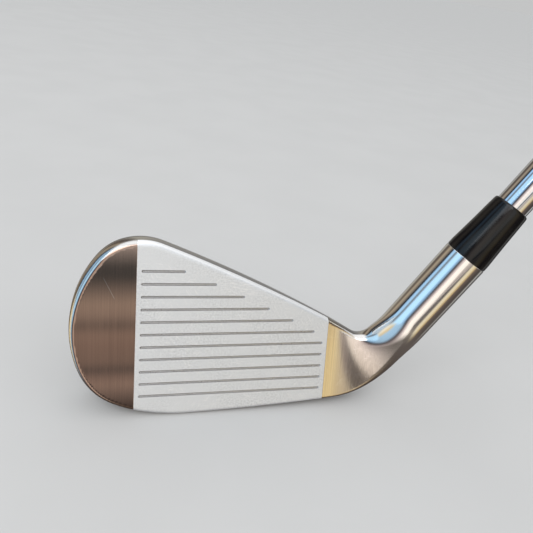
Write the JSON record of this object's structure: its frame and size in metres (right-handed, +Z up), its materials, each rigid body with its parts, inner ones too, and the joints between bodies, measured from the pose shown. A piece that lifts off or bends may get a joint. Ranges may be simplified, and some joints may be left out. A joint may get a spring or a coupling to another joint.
{
  "type": "iron golf club",
  "caption": "Right-handed long iron golf club: forged cavity-back blade with scorelines, hosel, ferrule, stepped steel shaft and vented rubber grip.",
  "frame": {"origin": "where the sole touches the ground at address, below the middle of the scorelines", "axes": "+Z up from the ground, +X from toe to heel, +Y away from the target, so that the face looks towards -Y; the shaft leans 60.5 degrees up from +X in the XZ direction"},
  "size_m": [0.5797, 0.0346, 0.8678],
  "materials": {
    "head_steel": "forged steel, satin chrome plated: bead-blasted hitting area, brushed toe and heel, polished hosel",
    "badge_metal": "anodised dark grey plate with a satin border, blank",
    "adhesive_film": "double-sided adhesive film",
    "epoxy": "cured shafting epoxy",
    "weight_brass": "turned brass",
    "plug_cork": "pressed cork",
    "ferrule_plastic": "polished black cellulose plastic",
    "shaft_chrome": "chrome-plated stepped steel tube",
    "band_film": "plain dark film sleeve, blank",
    "tape_paper": "double-sided crepe paper tape",
    "grip_rubber": "black rubber with a moulded tread",
    "cap_rubber": "smooth black rubber"
  },
  "bodies": {
    "root": {"head": "head_steel", "cavity_badge": "badge_metal", "badge_adhesive": "adhesive_film", "hosel_epoxy": "epoxy", "tip_weight": "weight_brass", "tip_plug": "plug_cork", "ferrule": "ferrule_plastic", "shaft": "shaft_chrome", "shaft_band": "band_film", "grip_tape": "tape_paper", "grip": "grip_rubber", "grip_cap": "cap_rubber"}
  },
  "joints": []
}
